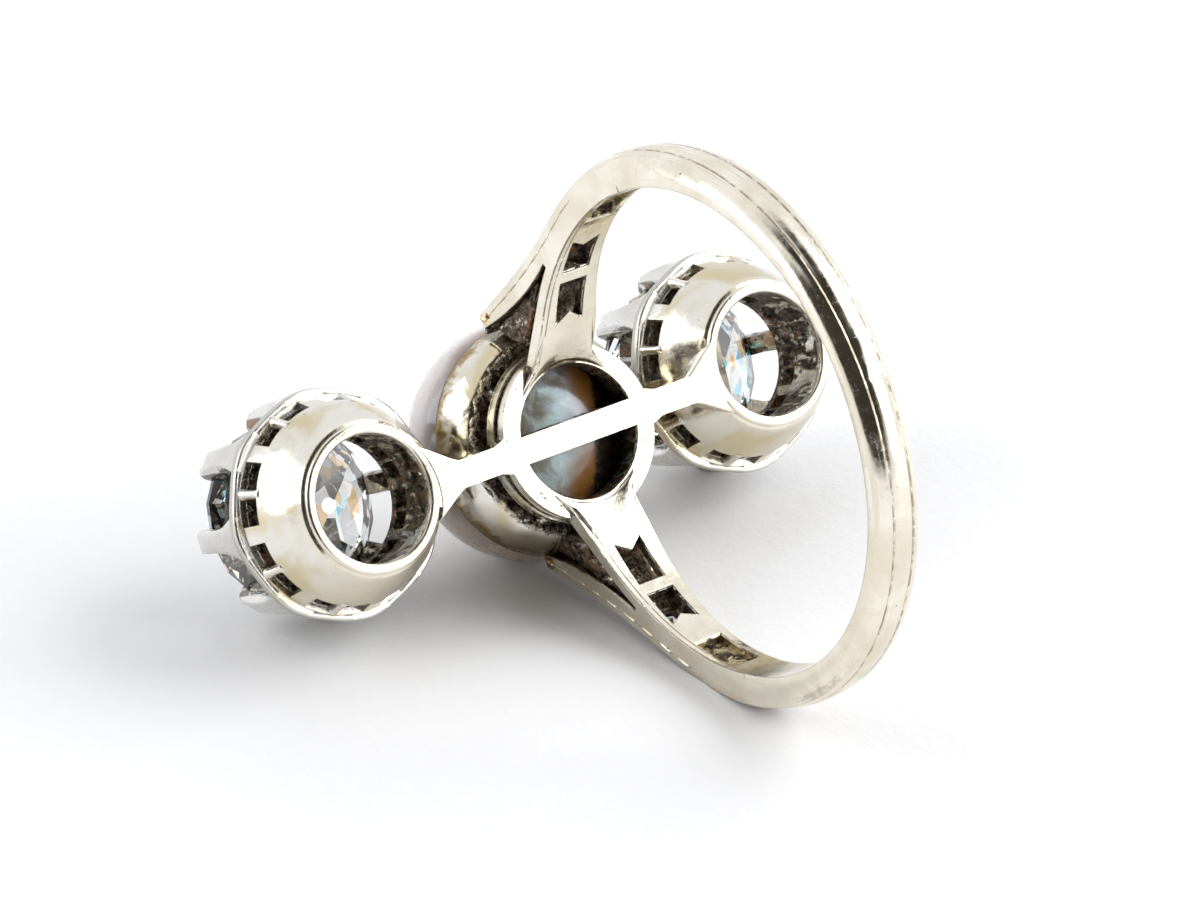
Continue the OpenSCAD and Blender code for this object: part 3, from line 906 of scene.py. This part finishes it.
def wire(start, stop, mirror, edge, radius=0.04, around=8):
    sections = []
    for step in range(5):
        spot, outward = walk(start + (stop - start) * step / 4)
        at = spot - outward * line_depth
        thin = radius * (0.35 if step in (0, 4) else 1.0)
        section = []
        for a in circle(around):
            out = thin * math.cos(a)
            section.append(Vector((mirror * (at.x + outward.x * out),
                                   edge * (half_width_at(at.x) + thin * math.sin(a)),
                                   at.y + outward.y * out)))
        sections.append(section)
    return loft(sections)


wires = []
for mirror, edge in corners:
    way = 0.2
    while way < rail_length + 1.5:
        length = 0.9 + 0.5 * noise.noise(Vector((way, mirror * 4, edge * 6)))
        wires.append(wire(way, way + length, mirror, edge))
        way += length + line_gap
make_piece("rail_lines", in_hoop, gather(wires), white_gold)

# %% [markdown]
# ### Rough metal below the stones
# Behind the pierced windows one sees the backs of the stones' seats. They were left as
# they came from the casting, and hold old dirt. Its dark colour is also painted shade, as
# the fork behind the windows lies in shade. A rough block fills the fork between the inner
# band and the outer rail, set back from the shoulder's sides. Its outline is drawn in the
# hoop's plane, and noise moves each point.

# %% Make the rough backs
band_back, seat_depth, set_back, roughness = 9.27, 0.85, 0.2, 0.07
# With a seed of its own, the vector noise makes the same lumps in every run
noise.seed_set(1)


def fill_out(outline, step):
    """Adds points along each side of an outline, so that noise can roughen it."""
    points = []
    for a, b in zip(outline, outline[1:] + outline[:1]):
        count = max(1, round((b - a).length / step))
        points += [a + (b - a) * i / count for i in range(count)]
    return points


def fork_block(mirror):
    below = [Vector((band_back * math.sin(a), band_back * math.cos(a)))
             for a in (math.radians(v) for v in (46, 43, 40, 36, 32))]
    above = [spot - seat_depth * outward
             for spot, outward in (walk(way) for way in (0.3, 1.2, 2.1, 3.0, 3.9, 4.8))]
    outline = fill_out(below + [Vector((3.5, 8.95)), Vector((3.45, 9.6))] + above, 0.16)
    middle = sum(outline, Vector((0, 0))) / len(outline)
    sections = []
    for share in (-1, -0.96, -0.8, -0.4, 0, 0.4, 0.8, 0.96, 1):
        # Its two ends are a little smaller, which rounds them off
        size = {1: 0.93, 0.96: 0.985}.get(abs(share), 1)
        section = []
        for point in outline:
            at = middle + (point - middle) * size
            y = share * (half_width_at(at.x) - set_back)
            shake = noise.noise_vector(Vector((at.x * 2.4 + mirror, y * 2.4, at.y * 2.4)))
            section.append(Vector((mirror * at.x, y, at.y)) + roughness * shake)
        sections.append(section)
    return loft(sections)


make_piece("seat_backs", in_hoop, gather(fork_block(mirror) for mirror in (-1, 1)), rough_cast)

# %% [markdown]
# ### Where the bands run into the plate
# Each inner band was soldered to the gallery plate and filed, so it runs out at the edge
# of the plate's hole and widens into the plate with soft corners. We loft a thin skin
# over each joint, from the hole's edge to the band. It follows the band's own face, which
# is a straight line on one side and a bend on the leaning side.

# %% Make the skins over the band ends
band_faces = {1: ((4.129, -1.676), (3.223, -1.05), (2.301, 0.015)),
              -1: ((4.343, -0.994), (3.282, -0.49), (2.221, 0.014))}
hole_edge, skin_length, skin_rise = 2.44, 1.5, 0.012


def band_height(mirror, x):
    """How high a band's face lies at x, in the head's place."""
    line = bend(*(Vector(v) for v in band_faces[mirror]), 40)
    for p, q in zip(line, line[1:]):
        if q.x <= x <= p.x:
            return p.y + (q.y - p.y) * (p.x - x) / (p.x - q.x)
    return line[-1].y


def band_foot(mirror, steps=20, across=24):
    skin_end = hole_edge + skin_length
    sections = []
    for k in range(across + 1):
        v = 2 * k / across - 1
        on_hole = hole_edge * Vector((math.cos(0.85 * v), math.sin(0.85 * v)))
        top = []
        for i in range(steps + 1):
            s = i / steps
            rise = band_height(mirror, hole_edge + skin_length * s) - skin_rise
            wide = half_width_at(4.0) - 0.03 + 0.8 * (1 - s) ** 3
            x = on_hole.x + (skin_end - on_hole.x) * s
            y = on_hole.y + (v * wide - on_hole.y) * min(s / 0.3, 1)
            low = min(rise, -0.02) * (1 - abs(v) ** 3 * (1 - s) ** 1.5)
            # Its borders sink into the metal below, and its far end does so very gently
            sink = 0.04 * max(s - 0.6, 0) / 0.4
            if i in (0, steps) or k in (0, across):
                sink += 0.09 if s < 0.5 else 0.03
            top.append(Vector((mirror * x, y, low + sink)))
        sections.append(top + [point + Vector((0, 0, 0.2)) for point in reversed(top)])
    return loft(sections)


make_piece("band_ends", in_head, gather(band_foot(mirror) for mirror in (1, -1)), white_gold)

# %% [markdown]
# ### Where the links meet the collets
# Each link widens softly into its collet's foot, more on the upper side. We loft a flare
# along the link: every section is a flat bar with rounded corners, and the last one sinks
# into the foot's rounded edge, so that no step is left.

# %% Make the flares on the links
flare_start, foot_edge, link_half_width, link_back = 4.87, 2.45, 0.48, 0.74


def link_flare(side, steps=20, corner=0.06):
    sections = []
    for i in range(steps + 1):
        s = i / steps
        right, left = link_half_width + 1.12 * s ** 1.5, -link_half_width - 0.86 * s ** 1.5
        if i == 0:
            right, left = right - 0.03, left + 0.03
        top = 0.03 * max(1 - s / 0.15, 0) + 0.7 * max(s - 0.9, 0) - skin_rise
        arc = [(corner * (1 - math.cos(a)), top + corner * (1 - math.sin(a)))
               for a in (math.radians(v) for v in (0, 22.5, 45, 67.5, 90))]
        outline = [(left + x, z) for x, z in arc]
        outline += [(left + corner + (right - left - 2 * corner) * k / 12, top) for k in range(1, 12)]
        outline += [(right - x, z) for x, z in reversed(arc)]
        outline += [(right, link_back), (left, link_back)]
        section = []
        for x, z in outline:
            end = collet_out - math.sqrt(foot_edge ** 2 - x * x)
            section.append(Vector((x, side * (flare_start + s * (end - flare_start)), z)))
        sections.append(section)
    return loft(sections)


make_piece("link_flares", in_head, gather(link_flare(side) for side in (-1, 1)), white_gold)

# %% [markdown]
# ### Scalloped rims
# Each collet's rim swells at the claws and dips between them. The CAD rim has that as
# straight steps. A rounded wire, worn smooth, is lofted round it and closed into a ring.
# Below it, rounded ribs stand between the gallery's openings.

# %% Make the rims
rim_radius, rim_height, rim_corner = 3.91, 2.82, 0.6


def scalloped_rim(seed, steps=160, around=16):
    points = []
    for turn in circle(steps):
        swell = 0.05 * math.cos(8 * turn) + 0.012 * noise.noise(Vector((seed, 5 * turn, 0)))
        for a in circle(around):
            out = rim_radius + swell + 0.13 * squared(math.cos(a), rim_corner)
            points.append((out * math.cos(turn), out * math.sin(turn),
                           rim_height + 0.2 * squared(math.sin(a), rim_corner)))
    faces = join_rings(steps, around)
    last = (steps - 1) * around
    for k in range(around):
        after = (k + 1) % around
        faces.append((last + k, last + after, after, k))
    return points, faces


def gallery_rib(turn, steps=6, around=12):
    """A rounded bar beside two openings, narrow in the middle."""
    sections = []
    for i in range(steps + 1):
        s = i / steps
        out, thick, wide = 3.29 + 0.37 * s, 0.24, 0.17 + 0.14 * (2 * s - 1) ** 4
        section = []
        for a in circle(around):
            x, y = out + thick * math.cos(a), wide * math.sin(a)
            section.append(Vector((x * math.cos(turn) - y * math.sin(turn),
                                   x * math.sin(turn) + y * math.cos(turn), 1.74 + 0.98 * s)))
        sections.append(section)
    return loft(sections)


ribs = [gallery_rib(math.radians(22.5 + 45 * k)) for k in range(8)]
for side, name in ((-1, "front_rim"), (1, "back_rim")):
    make_piece(name, collets[side], gather([scalloped_rim(side)] + ribs), claw_gold)

# %% [markdown]
# ## Solder
# Where two parts were joined, the goldsmith's solder shows as small yellow lumps, here
# at the ends of the rails, where they touch the cup's rim.

# %% Make the lumps of solder
lumps = []
for mirror, edge in corners:
    for x, inset, z, radius in ((4.42, 0.14, 11.1, 0.22), (4.2, 0.4, 11.18, 0.2),
                                (4.55, 0.03, 10.9, 0.12)):
        lumps.append(ball((mirror * x, edge * (half_width_at(x) - inset), z), radius, 0.5,
                          rings=9, around=14))
make_piece("rail_solder", in_hoop, gather(lumps), solder_gold)

# %% [markdown]
# ## Floor
# The floor is plain white paper. A cloud texture of a few tenths of a millimetre gives
# it its tooth, so that the ring's shadow falls on something real.

# %% Lay the floor
paper, shader, point = new_finish("white paper")
grain = cloud(stretch(point, (1 / MM, 1 / MM, 1 / MM)), 1.6, 6.0, 0.7)
put_all(shader, Roughness=ramp(grain, 0.0, 1.0, 0.6, 0.8), Specular_IOR_Level=0.2,
        Base_Color=blend(grain, (0.915, 0.92, 0.935, 1), (0.95, 0.95, 0.96, 1)),
        Normal=bump(grain, 0.5, 0.08 * MM))
floor_mesh = bpy.data.meshes.new("floor")
reach = 1.2
floor_mesh.from_pydata([(-reach, -reach, 0), (reach, -reach, 0), (reach, reach, 0),
                        (-reach, reach, 0)], [], [(0, 1, 2, 3)])
floor_mesh.materials.append(paper)
floor = add_object("floor", floor_mesh)
print("floor:", 2 * reach, "m square")

# %% [markdown]
# ## Light
# Polished metal shows its surroundings more than itself. Catalogue pictures of rings
# are made in a tent of white cloth with a few bright panels, and the metal's greys
# come from the gaps between them. The sky shader gives the tent, and area lights
# are the panels.

# %% Hang the tent and the bright panels
world = bpy.data.worlds.new("tent")
bpy.context.scene.world = world
world.use_nodes = True
work_in(world.node_tree)
sky = new_node("Background")
put(new_node("OutputWorld").inputs["Surface"], sky.outputs[0])
way = new_node("TexCoord").outputs["Generated"]
# The photographer's side of the tent is open: a round hole, 36 degrees wide each way and
# fading out to 49 degrees
facing = vector_calc("DOT_PRODUCT", way, Vector((0.68, -0.54, 0.5)).normalized()[:])
behind_camera = ramp(facing, math.cos(math.radians(49)), math.cos(math.radians(36)))
# and a slit runs along the tent's roof
parts = new_node("SeparateXYZ")
put(parts.inputs[0], way)
way_x, way_y, way_z = parts.outputs
slit = product(near(way_y, 0.1, 0.31, 0.23), ramp(way_x, -0.3, 0.0), ramp(way_z, 0.15, 0.45))
tent = blend(largest(behind_camera, slit), (0.94, 0.95, 0.97, 1), (0.045, 0.04, 0.035, 1))
put_all(sky.inputs, Color=tent, Strength=1.05)


def panel(name, direction, width, height, power, distance=0.5):
    light_data = bpy.data.lights.new(name, "AREA")
    light_data.shape = "RECTANGLE"
    light_data.size, light_data.size_y = width, height
    light_data.energy = power
    light = add_object(name, light_data)
    towards = Vector(direction).normalized()
    light.location = towards * distance
    light.rotation_euler = (-towards).to_track_quat("-Z", "Y").to_euler()


panel("right panel", (0.78, 0.52, 0.36), 0.34, 0.30, 0.7)
panel("left panel", (-0.45, -0.75, 0.42), 0.42, 0.34, 1.0)
panel("key panel", (0.30, 0.72, 0.62), 0.34, 0.34, 1.35)
bpy.context.scene.view_settings.view_transform = "Standard"
